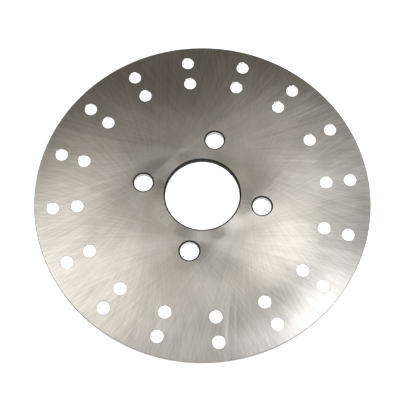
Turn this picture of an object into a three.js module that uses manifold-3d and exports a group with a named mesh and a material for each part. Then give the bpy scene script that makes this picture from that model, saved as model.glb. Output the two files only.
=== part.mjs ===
// A plain brake disc rotor: one flat plate of stainless steel, ground on both faces.
// A centre bore, four bolt holes and sixteen radial pairs of vent holes go right through it, each
// with a chamfer round both of its mouths.
//
// Units are millimetres. The disc lies flat, with +Z along the axis it turns about. The origin is
// the centre of the bore in the hub face, the lower of the two flat faces, and +X runs through
// the centre of a bolt hole.

import * as THREE from 'three';
import { mergeVertices } from 'three/addons/utils/BufferGeometryUtils.js';
import Module from 'manifold-3d';

const wasm = await Module();
wasm.setup();

// Plate
const OUTER_DIAMETER = 180;
const THICKNESS = 4;
const RIM_CHAMFER = 0.4;

// Hub: the bore that centres the disc and the bolts that hold it
const BORE_DIAMETER = 40;
const BOLT_COUNT = 4;
const BOLT_CIRCLE_DIAMETER = 65;
const BOLT_HOLE_DIAMETER = 10;
const HUB_CHAMFER = 0.8;

// Friction band: two rings of vent holes, lined up in radial pairs
const VENT_PAIR_COUNT = 16;
const VENT_CIRCLE_DIAMETERS = [134, 160];
const VENT_HOLE_DIAMETER = 6.5;
const VENT_CHAMFER = 0.25;
// Turn from the bolt hole on +X to the first pair: the pairs don't line up with the bolts.
const VENT_PAIR_OFFSET = THREE.MathUtils.degToRad(17.9);

// Straight sides that stand for each round edge
const RIM_SIDES = 128;
const BORE_SIDES = 64;
const BOLT_HOLE_SIDES = 24;
const VENT_HOLE_SIDES = 16;

// How far a cutter reaches past each flat face
const CUTTER_OVERRUN = 1;

// A solid of revolution about +Z, from its (radius, height) outline
function turned(outline, sides) {
  const points = outline.map(([radius, height]) => new THREE.Vector2(radius, height));
  return new THREE.LatheGeometry(points, sides).rotateX(Math.PI / 2);
}

// The plate before any hole is cut
function blankGeometry() {
  const radius = OUTER_DIAMETER / 2;
  const outline = [
    [0, 0],
    [radius - RIM_CHAMFER, 0],
    [radius, RIM_CHAMFER],
    [radius, THICKNESS - RIM_CHAMFER],
    [radius - RIM_CHAMFER, THICKNESS],
    [0, THICKNESS],
  ];
  return turned(outline, RIM_SIDES);
}

// The shape that a round hole takes out of the plate, flared at both ends to leave the chamfers
function cutterGeometry(diameter, chamfer, sides) {
  const radius = diameter / 2;
  const flare = radius + chamfer + CUTTER_OVERRUN;
  const outline = [
    [0, -CUTTER_OVERRUN],
    [flare, -CUTTER_OVERRUN],
    [radius, chamfer],
    [radius, THICKNESS - chamfer],
    [flare, THICKNESS + CUTTER_OVERRUN],
    [0, THICKNESS + CUTTER_OVERRUN],
  ];
  return turned(outline, sides);
}

// Copies of a cutter spaced evenly on a circle about the disc's axis
function cutterRing(cutter, count, circleDiameter, firstAngle) {
  return Array.from({ length: count }, (_, i) => {
    const angle = firstAngle + (2 * Math.PI * i) / count;
    return cutter.clone().translate(circleDiameter / 2, 0, 0).rotateZ(angle);
  });
}

// A closed geometry as a solid that can be cut
function toSolid(geometry) {
  const bare = geometry.clone();
  bare.deleteAttribute('normal');
  bare.deleteAttribute('uv');
  const merged = mergeVertices(bare);
  return new wasm.Manifold(
    new wasm.Mesh({
      numProp: 3,
      vertProperties: merged.attributes.position.array,
      triVerts: new Uint32Array(merged.index.array),
    }),
  );
}

// A solid as a geometry again
function toGeometry(solid) {
  const mesh = solid.getMesh();
  const geometry = new THREE.BufferGeometry();
  geometry.setAttribute('position', new THREE.BufferAttribute(mesh.vertProperties, 3));
  geometry.setIndex(new THREE.BufferAttribute(mesh.triVerts, 1));
  geometry.computeVertexNormals();
  return geometry;
}

// The plate with every hole cut through it
function discGeometry() {
  const bore = cutterGeometry(BORE_DIAMETER, HUB_CHAMFER, BORE_SIDES);
  const boltHole = cutterGeometry(BOLT_HOLE_DIAMETER, HUB_CHAMFER, BOLT_HOLE_SIDES);
  const ventHole = cutterGeometry(VENT_HOLE_DIAMETER, VENT_CHAMFER, VENT_HOLE_SIDES);
  const ventHoles = VENT_CIRCLE_DIAMETERS.flatMap((circleDiameter) => {
    return cutterRing(ventHole, VENT_PAIR_COUNT, circleDiameter, VENT_PAIR_OFFSET);
  });
  const boltHoles = cutterRing(boltHole, BOLT_COUNT, BOLT_CIRCLE_DIAMETER, 0);
  const holes = [bore, ...boltHoles, ...ventHoles];
  const cut = (plate, hole) => plate.subtract(toSolid(hole));
  return toGeometry(holes.reduce(cut, toSolid(blankGeometry())));
}

const groundSteel = new THREE.MeshStandardMaterial({
  color: 0xa8a39b,
  roughness: 0.35,
  metalness: 1,
});

const brakeDisc = new THREE.Mesh(discGeometry(), groundSteel);
brakeDisc.name = 'brake_disc';

const rotor = new THREE.Group();
rotor.add(brakeDisc);

export default rotor;
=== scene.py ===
"""A ground stainless brake disc lying on a pale studio floor.

The frame's disc is faceted. Here it is replaced by a finely cut one of the same size, with round
holes, broken edges and a surface that shows the arcs left by a large grinding wheel.
Lengths are metres in the row frame: +Z up, origin in the middle of the disc's lower face.
"""
import math

import bmesh
import bpy
from mathutils import Matrix, Vector


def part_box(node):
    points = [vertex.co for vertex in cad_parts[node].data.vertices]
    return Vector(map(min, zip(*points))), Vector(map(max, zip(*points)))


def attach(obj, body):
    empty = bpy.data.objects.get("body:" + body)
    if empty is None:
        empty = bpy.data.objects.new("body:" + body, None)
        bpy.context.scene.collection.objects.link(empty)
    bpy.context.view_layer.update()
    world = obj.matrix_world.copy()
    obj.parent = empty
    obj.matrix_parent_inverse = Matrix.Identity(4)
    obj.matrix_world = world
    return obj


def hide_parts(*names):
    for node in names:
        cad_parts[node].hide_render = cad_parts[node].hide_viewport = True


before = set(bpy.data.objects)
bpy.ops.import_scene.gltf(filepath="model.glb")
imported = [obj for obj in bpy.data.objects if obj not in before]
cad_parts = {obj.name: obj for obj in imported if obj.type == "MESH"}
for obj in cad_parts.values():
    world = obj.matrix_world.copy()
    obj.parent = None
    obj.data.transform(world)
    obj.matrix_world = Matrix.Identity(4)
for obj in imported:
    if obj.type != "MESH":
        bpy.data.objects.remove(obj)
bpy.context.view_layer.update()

# ---------------------------------------------------------------- sizes

low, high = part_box("brake_disc")
OUTER_RADIUS = (high.x - low.x) / 2
THICKNESS = high.z - low.z
BORE_RADIUS = 0.02
BOLT_COUNT = 4
BOLT_CIRCLE_RADIUS = 0.0325
BOLT_HOLE_RADIUS = 0.005
VENT_PAIR_COUNT = 16
VENT_PAIR_OFFSET = math.radians(17.9)
VENT_CIRCLE_RADII = (0.067, 0.080)
VENT_HOLE_RADIUS = 0.00325

# The width and depth of each kind of chamfer, how flat they are, from 1 for a round edge to 2 for
# a straight cut, and the steps across them
RIM_CHAMFER = (0.0004, 0.0004)
HUB_CHAMFER = (0.0008, 0.0005)
VENT_CHAMFER = (0.00025, 0.00025)
CHAMFER_FLATNESS = 1.7
CHAMFER_STEPS = 5

# Straight sides that stand for each round edge
RIM_SIDES = 512
BORE_SIDES = 256
BOLT_HOLE_SIDES = 128
VENT_HOLE_SIDES = 96

# The grinding wheel left arcs of this radius, which come no closer to the disc's middle than the
# first of these distances, or for a fainter second set the other one.
GRINDING_ARC_RADIUS = 3.7 * OUTER_RADIUS
MAIN_ARCS_NEAREST = 0.29 * OUTER_RADIUS
HUB_ARCS_NEAREST = 0.19 * OUTER_RADIUS

# Kinds of grinding mark: how far apart they are at mid-radius, and the length each fades over
SCRATCHES = (0.0006, 0.03)
HUB_SCRATCHES = (0.0009, 0.012)
SCRATCH_BUNDLES = (0.0019, 0.04)
SCRATCH_DEPTH = 0.00002
HUB_SCRATCH_SHARE = 0.4

# The ground face: its steel, and how its grain spreads the light. The waver is in radians.
# The steel's colour follows the grinding marks' height: darker in their hollows as painted shade,
# lighter on their crests as painted highlight, with cloudy tone that differs at random.
STEEL_DULL_TONE_AND_PAINTED_SHADE = (0.45, 0.417, 0.370)
STEEL_BRIGHT_TONE_AND_PAINTED_HIGHLIGHT = (0.81, 0.752, 0.680)
SHADE_RANGE = (1.15, 2.15)
CLOUD_SCALE = 90.0
CLOUD_SHARE = 0.5
FACE_ROUGHNESS = (0.30, 0.312)
GRAIN_ANISOTROPY = 0.83
GRAIN_WAVER = 0.12
LEFT_ARCS_SHARE = 0.6
ARCS_CONTRAST = 1.1

# The cut walls
WALL_SPECULAR = 0.15
GROOVE_SCALE = 3200.0
GROOVE_STRETCH = 0.08
STAIN_SCALE = 450.0
STAIN_ROUGHNESS = 0.06

# Most of the values of a noise texture lie between these
NOISE_RANGE = (0.3, 0.7)

# The camera, on a long lens
CAMERA_TURN = math.radians(12.05)
CAMERA_ELEVATION = math.radians(69.19)
CAMERA_DISTANCE = 4.927 * OUTER_RADIUS
CAMERA_LENS_MM = 74.8
AIM_SIDEWAYS = -0.0144 * OUTER_RADIUS
AIM_BACK = -0.0383 * OUTER_RADIUS

# The floor lies this far under the disc, so that the two don't share a plane
FLOOR_GAP = 0.00005


# ---------------------------------------------------------------- the disc


def edge_profile(chamfer):
    """Steps across a cut edge, from the top face down to the bottom one.

    Each is (distance into the steel from the wall, height above the bottom face).
    """
    width, depth = chamfer
    steps = []
    for i in range(CHAMFER_STEPS + 1):
        angle = math.pi / 2 * i / CHAMFER_STEPS
        inset = width * (1 - math.sin(angle) ** CHAMFER_FLATNESS)
        drop = depth * (1 - math.cos(angle) ** CHAMFER_FLATNESS)
        steps.append((inset, drop))
    upper = [(inset, THICKNESS - drop) for inset, drop in steps]
    lower = [(inset, drop) for inset, drop in reversed(steps)]
    return upper + lower


def cut_edge(bm, centre, radius, sides, chamfer, into_steel, wall_index, chamfer_index):
    """One round wall with its chamfers. Returns the edges of its top and bottom mouths.

    into_steel is +1 round a hole, where the steel lies outside the wall, and -1 at the rim.
    """
    rings = []
    for inset, height in edge_profile(chamfer):
        ring_radius = radius + into_steel * inset
        ring = []
        for i in range(sides):
            angle = 2 * math.pi * i / sides
            x = centre.x + ring_radius * math.cos(angle)
            y = centre.y + ring_radius * math.sin(angle)
            ring.append(bm.verts.new((x, y, height)))
        rings.append(ring)
    for step, (upper, lower) in enumerate(zip(rings, rings[1:])):
        for i in range(sides):
            j = (i + 1) % sides
            face = bm.faces.new((upper[i], upper[j], lower[j], lower[i]))
            face.material_index = wall_index if step == CHAMFER_STEPS else chamfer_index
            face.smooth = True
    mouths = []
    for ring in (rings[0], rings[-1]):
        mouths.append([bm.edges.get((ring[i], ring[(i + 1) % sides])) for i in range(sides)])
    return mouths


def polar_point(radius, angle):
    return Vector((radius * math.cos(angle), radius * math.sin(angle)))


def hole_centres(count, circle_radius, first_angle):
    """The centres of holes spaced evenly on a circle about the disc's axis."""
    return [
        polar_point(circle_radius, first_angle + 2 * math.pi * i / count) for i in range(count)
    ]


def build_disc(materials):
    """The whole disc as one closed mesh. materials maps a surface's name to its material.

    rim, bore, bolt and vent end a call of cut_edge: the steel's side, then the material of the
    wall and that of its chamfers.
    """
    names = list(materials)
    bm = bmesh.new()
    middle = Vector((0, 0))
    rim = (-1, names.index("rim"), names.index("rim"))
    bore = (1, names.index("bore_wall_painted_shade"), names.index("hub_chamfer_painted_shade"))
    bolt = (1, names.index("bolt_wall_painted_shade"), names.index("hub_chamfer_painted_shade"))
    vent = (1, names.index("vent_wall_painted_light"), names.index("vent_wall_painted_light"))
    cuts = [
        (middle, OUTER_RADIUS, RIM_SIDES, RIM_CHAMFER, *rim),
        (middle, BORE_RADIUS, BORE_SIDES, HUB_CHAMFER, *bore),
    ]
    for centre in hole_centres(BOLT_COUNT, BOLT_CIRCLE_RADIUS, 0):
        cuts.append((centre, BOLT_HOLE_RADIUS, BOLT_HOLE_SIDES, HUB_CHAMFER, *bolt))
    for circle_radius in VENT_CIRCLE_RADII:
        for centre in hole_centres(VENT_PAIR_COUNT, circle_radius, VENT_PAIR_OFFSET):
            cuts.append((centre, VENT_HOLE_RADIUS, VENT_HOLE_SIDES, VENT_CHAMFER, *vent))
    top_edges, bottom_edges = [], []
    for cut in cuts:
        top, bottom = cut_edge(bm, *cut)
        top_edges += top
        bottom_edges += bottom
    for edges in (top_edges, bottom_edges):
        filled = bmesh.ops.triangle_fill(bm, use_beauty=True, use_dissolve=False, edges=edges)
        for piece in filled["geom"]:
            if isinstance(piece, bmesh.types.BMFace):
                piece.material_index = names.index("ground_face")
                piece.smooth = True
        for edge in edges:
            edge.smooth = False
    bmesh.ops.recalc_face_normals(bm, faces=bm.faces)
    mesh = bpy.data.meshes.new("ground_disc")
    bm.to_mesh(mesh)
    bm.free()
    for name in names:
        mesh.materials.append(materials[name])
    disc = bpy.data.objects.new("ground_disc", mesh)
    bpy.context.scene.collection.objects.link(disc)
    return disc


# ---------------------------------------------------------------- materials


class Shading:
    """A node material, with short calls for adding nodes to it."""

    def __init__(self, name):
        self.material = bpy.data.materials.new(name)
        self.material.use_nodes = True
        self.tree = self.material.node_tree
        self.tree.nodes.clear()

    def node(self, kind, **settings):
        node = self.tree.nodes.new(kind)
        for key, value in settings.items():
            setattr(node, key, value)
        return node

    def feed(self, socket, value):
        """Links another node's output to a socket, or sets the socket to a plain value."""
        if isinstance(value, bpy.types.NodeSocket):
            self.tree.links.new(value, socket)
        else:
            socket.default_value = value

    def principled(self, **values):
        """A Principled shader. Its sockets are named with _ for a space."""
        shader = self.node("ShaderNodeBsdfPrincipled")
        for key, value in values.items():
            self.feed(shader.inputs[key.replace("_", " ")], value)
        return shader.outputs["BSDF"]

    def shown(self, shader):
        """The finished material, with shader on its surface."""
        output = self.node("ShaderNodeOutputMaterial")
        self.feed(output.inputs["Surface"], shader)
        return self.material

    def math(self, operation, *values, clamp=False):
        node = self.node("ShaderNodeMath", operation=operation, use_clamp=clamp)
        for socket, value in zip(node.inputs, values):
            self.feed(socket, value)
        return node.outputs["Value"]

    def vector(self, operation, *values, output="Vector"):
        node = self.node("ShaderNodeVectorMath", operation=operation)
        for socket, value in zip(node.inputs, values):
            self.feed(socket, value)
        return node.outputs[output]

    def scaled(self, vector, factor):
        node = self.node("ShaderNodeVectorMath", operation="SCALE")
        self.feed(node.inputs["Vector"], vector)
        self.feed(node.inputs["Scale"], factor)
        return node.outputs["Vector"]

    def combine(self, x, y, z):
        node = self.node("ShaderNodeCombineXYZ")
        for socket, value in zip(node.inputs, (x, y, z)):
            self.feed(socket, value)
        return node.outputs["Vector"]

    def separate(self, vector):
        node = self.node("ShaderNodeSeparateXYZ")
        self.feed(node.inputs["Vector"], vector)
        return node.outputs["X"], node.outputs["Y"], node.outputs["Z"]

    def turned(self, vector, angle):
        """vector turned about +Z."""
        node = self.node("ShaderNodeVectorRotate", rotation_type="Z_AXIS")
        self.feed(node.inputs["Vector"], vector)
        self.feed(node.inputs["Angle"], angle)
        return node.outputs["Vector"]

    def noise(self, vector, scale, detail=2.0, roughness=0.5):
        node = self.node("ShaderNodeTexNoise")
        self.feed(node.inputs["Vector"], vector)
        self.feed(node.inputs["Scale"], scale)
        self.feed(node.inputs["Detail"], detail)
        self.feed(node.inputs["Roughness"], roughness)
        return node.outputs["Fac"]

    def spread(self, value, from_low, from_high, to_low, to_high):
        """value carried from one range to another, and held at the ends."""
        node = self.node("ShaderNodeMapRange", clamp=True)
        for socket, v in zip(node.inputs, (value, from_low, from_high, to_low, to_high)):
            self.feed(socket, v)
        return node.outputs["Result"]

    def colour_between(self, factor, first, second):
        node = self.node("ShaderNodeMix", data_type="RGBA")
        self.feed(node.inputs["Factor"], factor)
        self.feed(node.inputs["A"], (*first, 1))
        self.feed(node.inputs["B"], (*second, 1))
        return node.outputs["Result"]

    def mixed(self, factor, first, second):
        node = self.node("ShaderNodeMixShader")
        for socket, value in zip(node.inputs, (factor, first, second)):
            self.feed(socket, value)
        return node.outputs["Shader"]

    def bump(self, height, distance):
        node = self.node("ShaderNodeBump")
        self.feed(node.inputs["Height"], height)
        self.feed(node.inputs["Distance"], distance)
        return node.outputs["Normal"]

    def place(self):
        """The shaded point, in the row frame."""
        return self.node("ShaderNodeTexCoord").outputs["Object"]


def grinding_arcs(shading, polar, hand, nearest, spacing, length, seed):
    """Brightness of a set of grinding arcs, all of them one arc turned about the disc's axis.

    polar is (distance from the axis, unit direction away from it). hand is +1 where the arcs lean
    anticlockwise on the way out, seen from above, and -1 where they lean clockwise. The marks are
    about spacing apart at mid-radius, and each fades in and out over about length.
    """
    distance, outward = polar
    wheel_centre = GRINDING_ARC_RADIUS + nearest
    near_term = nearest * (nearest + 2 * GRINDING_ARC_RADIUS) / (2 * wheel_centre)
    cosine = shading.math(
        "ADD",
        shading.math("MULTIPLY", distance, 1 / (2 * wheel_centre)),
        shading.math("DIVIDE", near_term, distance),
        clamp=True,
    )
    swept = shading.math("MULTIPLY", shading.math("ARCCOSINE", cosine), -hand)
    start = shading.turned(outward, swept)
    middle_radius = (OUTER_RADIUS + BORE_RADIUS) / 2
    across = shading.scaled(start, middle_radius / spacing)
    along = shading.math("MULTIPLY_ADD", distance, 1 / length, seed)
    place = shading.vector("ADD", across, shading.combine(0.0, 0.0, along))
    return shading.noise(place, 1.0, detail=4.0, roughness=0.65)


def arc_lean(shading, distance, nearest):
    """The angle between the arcs and the radius they cross."""
    curve = 1 / (2 * GRINDING_ARC_RADIUS)
    sine = shading.math(
        "SUBTRACT",
        shading.math("DIVIDE", nearest + curve * nearest * nearest, distance),
        shading.math("MULTIPLY", distance, curve),
        clamp=True,
    )
    return shading.math("ARCSINE", sine)


def grinding_grain(shading, distance, hand, waver):
    """Anisotropic rotation that lays the grain along one set of arcs, on either face.

    waver turns it a little away from them, as bundles of scratches stray.
    """
    facing = shading.separate(shading.node("ShaderNodeNewGeometry").outputs["True Normal"])[2]
    lean = arc_lean(shading, distance, MAIN_ARCS_NEAREST)
    leaning = shading.math("MULTIPLY_ADD", lean, hand, waver)
    turn = shading.math("MULTIPLY", leaning, facing)
    return shading.math("DIVIDE", turn, 2 * math.pi)


def ground_face_material():
    """Both flat faces: bare steel, with two crossing sets of grinding arcs, its colour painted
    darker in the marks' hollows and lighter on their crests as painted shade and highlight.

    Each set of arcs is a shader with a grain of its own, because light runs off in a different
    direction from each. The set that leans anticlockwise was cut last and shows more.
    """
    s = Shading("ground_face")
    x, y, _ = s.separate(s.place())
    flat_place = s.combine(x, y, 0.0)
    distance = s.vector("LENGTH", flat_place, output="Value")
    polar = (distance, s.vector("NORMALIZE", flat_place))

    left = grinding_arcs(s, polar, 1, MAIN_ARCS_NEAREST, *SCRATCHES, seed=3.0)
    right = grinding_arcs(s, polar, -1, MAIN_ARCS_NEAREST, *SCRATCHES, seed=17.0)
    hub_left = grinding_arcs(s, polar, 1, HUB_ARCS_NEAREST, *HUB_SCRATCHES, seed=31.0)
    hub_right = grinding_arcs(s, polar, -1, HUB_ARCS_NEAREST, *HUB_SCRATCHES, seed=47.0)
    bundles_left = grinding_arcs(s, polar, 1, MAIN_ARCS_NEAREST, *SCRATCH_BUNDLES, seed=59.0)
    bundles_right = grinding_arcs(s, polar, -1, MAIN_ARCS_NEAREST, *SCRATCH_BUNDLES, seed=71.0)
    marks = s.math("ADD", left, right)
    hub_marks = s.math("ADD", hub_left, hub_right)
    height = s.math("MULTIPLY_ADD", hub_marks, HUB_SCRATCH_SHARE, marks)
    clouds = s.noise(flat_place, CLOUD_SCALE, detail=3.0)

    # Painted shade and highlight: the colour darkens in the marks' hollows and lightens on their
    # crests, over random cloudy tone.
    shade = s.math("MULTIPLY_ADD", clouds, CLOUD_SHARE, height)
    brightness = s.spread(shade, *SHADE_RANGE, 0.0, 1.0)
    colour = s.colour_between(brightness, STEEL_DULL_TONE_AND_PAINTED_SHADE, STEEL_BRIGHT_TONE_AND_PAINTED_HIGHLIGHT)
    roughness = s.spread(clouds, *NOISE_RANGE, *FACE_ROUGHNESS)
    tangent = s.node("ShaderNodeTangent", direction_type="RADIAL", axis="Z").outputs["Tangent"]
    normal = s.bump(height, SCRATCH_DEPTH)
    grains = []
    for hand, bundles in ((-1, bundles_right), (1, bundles_left)):
        waver = s.spread(bundles, *NOISE_RANGE, -GRAIN_WAVER, GRAIN_WAVER)
        grain = s.principled(
            Base_Color=colour,
            Metallic=1.0,
            Roughness=roughness,
            Anisotropic=GRAIN_ANISOTROPY,
            Anisotropic_Rotation=grinding_grain(s, distance, hand, waver),
            Tangent=tangent,
            Normal=normal,
        )
        grains.append(grain)
    left_over_right = s.math("SUBTRACT", left, right)
    balance = s.math(
        "MULTIPLY_ADD", left_over_right, ARCS_CONTRAST, LEFT_ARCS_SHARE, clamp=True
    )
    return s.shown(s.mixed(balance, *grains))


def cut_wall_material(name, dark, light, roughness, metallic, groove_depth):
    """A wall left by the cutter, with fine grooves from top to bottom."""
    s = Shading(name)
    place = s.place()
    x, y, z = s.separate(place)
    stretched = s.combine(x, y, s.math("MULTIPLY", z, GROOVE_STRETCH))
    grooves = s.noise(stretched, GROOVE_SCALE, detail=2.0)
    stains = s.noise(place, STAIN_SCALE, detail=3.0)
    shade = s.math("MULTIPLY_ADD", grooves, 0.5, s.math("MULTIPLY", stains, 0.5))
    smoother, rougher = roughness - STAIN_ROUGHNESS, roughness + STAIN_ROUGHNESS
    wall = s.principled(
        Base_Color=s.colour_between(s.spread(shade, 0.35, 0.65, 0.0, 1.0), dark, light),
        Metallic=metallic,
        Specular_IOR_Level=WALL_SPECULAR,
        Roughness=s.spread(stains, *NOISE_RANGE, smoother, rougher),
        Normal=s.bump(grooves, groove_depth),
    )
    return s.shown(wall)


def disc_materials():
    """Each surface's material, by name: its dark and light colours, roughness, metal and grooves."""
    return {
        "ground_face": ground_face_material(),
        "rim": cut_wall_material("rim", (0.38, 0.36, 0.335), (0.52, 0.495, 0.465), 0.4, 1.0, 1e-5),
        # Painted shade: the chamfers of the bore and bolt holes are near-black non-metal, standing
        # for the shade inside those holes.
        "hub_chamfer_painted_shade": cut_wall_material(
            "hub_chamfer_painted_shade", (0.004, 0.0037, 0.0034), (0.02, 0.0185, 0.017), 0.5, 0.0, 5e-6
        ),
        # Painted shade: the bore's wall is near-black non-metal, a dark sheet where the hole is only
        # in shade.
        "bore_wall_painted_shade": cut_wall_material(
            "bore_wall_painted_shade", (0.003, 0.0028, 0.0026), (0.014, 0.013, 0.012), 0.6, 0.0, 3e-5
        ),
        # Painted shade: the bolt holes' walls are a darker copy of the same cut steel.
        "bolt_wall_painted_shade": cut_wall_material(
            "bolt_wall_painted_shade", (0.26, 0.25, 0.24), (0.40, 0.38, 0.36), 0.35, 1.0, 1e-5
        ),
        # Painted light: the vent holes' walls and chamfers are a lighter copy of the same cut steel.
        "vent_wall_painted_light": cut_wall_material(
            "vent_wall_painted_light", (0.72, 0.70, 0.67), (0.9, 0.88, 0.86), 0.3, 1.0, 1e-5
        ),
    }


# ---------------------------------------------------------------- studio


def floor():
    """A pale, evenly lit surface right under the disc."""
    reach = 20 * OUTER_RADIUS
    mesh = bpy.data.meshes.new("studio_floor")
    corners = [(-reach, -reach, 0), (reach, -reach, 0), (reach, reach, 0), (-reach, reach, 0)]
    mesh.from_pydata(corners, [], [(0, 1, 2, 3)])
    s = Shading("studio_floor")
    surface = s.principled(
        Base_Color=(0.8, 0.8, 0.8, 1),
        Roughness=0.9,
        Emission_Color=(1, 1, 1, 1),
        Emission_Strength=0.9,
    )
    mesh.materials.append(s.shown(surface))
    sheet = bpy.data.objects.new("studio_floor", mesh)
    sheet.location.z = -FLOOR_GAP
    bpy.context.scene.collection.objects.link(sheet)


def orbit(turn, elevation, distance):
    """A point seen from the disc's middle, turn measured anticlockwise from the camera's right."""
    angle = turn + CAMERA_TURN
    flat = distance * math.cos(elevation)
    return Vector((flat * math.cos(angle), flat * math.sin(angle), distance * math.sin(elevation)))


def softbox(name, turn_deg, elevation_deg, distance, radius, watts, colour=(1, 1, 1)):
    """A round soft light aimed at the disc's middle. Lengths are in outer radii of the disc."""
    data = bpy.data.lights.new(name, "AREA")
    data.shape = "DISK"
    data.size = 2 * radius * OUTER_RADIUS
    data.energy = watts
    data.color = colour
    light = bpy.data.objects.new(name, data)
    position = orbit(math.radians(turn_deg), math.radians(elevation_deg), distance * OUTER_RADIUS)
    light.location = position
    light.rotation_mode = "QUATERNION"
    light.rotation_quaternion = (-position).to_track_quat("-Z", "Y")
    light.visible_camera = False
    bpy.context.scene.collection.objects.link(light)


def lights():
    """Two small keys, reflected by the right front of the disc, and large soft fills."""
    cool = (0.95, 1, 1.08)
    softbox("key", -20, 65, 2.2, 0.2, 0.024, cool)
    softbox("high_key", 20, 70, 2, 0.2, 0.014)
    softbox("left", 165, 66, 3, 0.7, 0.065)
    softbox("back", 60, 60, 3, 0.6, 0.016)
    softbox("front", -90, 60, 5, 1.0, 1.1, cool)
    softbox("right", -20, 52, 5, 1.0, 0.8, cool)


def surroundings():
    """White where the camera looks past the floor, and dim and warm for everything else."""
    world = bpy.data.worlds.new("studio")
    world.use_nodes = True
    nodes, links = world.node_tree.nodes, world.node_tree.links
    colour = nodes.new("ShaderNodeMix")
    colour.data_type = "RGBA"
    colour.inputs["A"].default_value = (0.15, 0.14, 0.125, 1)
    colour.inputs["B"].default_value = (1, 1, 1, 1)
    seen = nodes.new("ShaderNodeLightPath").outputs["Is Camera Ray"]
    links.new(seen, colour.inputs["Factor"])
    links.new(colour.outputs["Result"], nodes["Background"].inputs["Color"])
    bpy.context.scene.world = world


def camera():
    """The photographer's view, aimed at a point on the disc's upper face."""
    data = bpy.data.cameras.new("camera")
    data.lens = CAMERA_LENS_MM
    data.sensor_width = 36
    data.clip_start = 0.01
    data.clip_end = 20
    cam = bpy.data.objects.new("camera", data)
    turn = Matrix.Rotation(CAMERA_TURN, 3, "Z")
    aim = turn @ Vector((AIM_SIDEWAYS, AIM_BACK, 0)) + Vector((0, 0, THICKNESS))
    back = orbit(-math.pi / 2, CAMERA_ELEVATION, CAMERA_DISTANCE)
    cam.location = aim + back
    cam.rotation_mode = "QUATERNION"
    cam.rotation_quaternion = (-back).to_track_quat("-Z", "Y")
    bpy.context.scene.collection.objects.link(cam)
    bpy.context.scene.camera = cam


# ---------------------------------------------------------------- making it all

bpy.context.scene.view_settings.view_transform = "Standard"
camera()
disc = build_disc(disc_materials())
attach(disc, "root")
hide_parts("brake_disc")
floor()
lights()
surroundings()
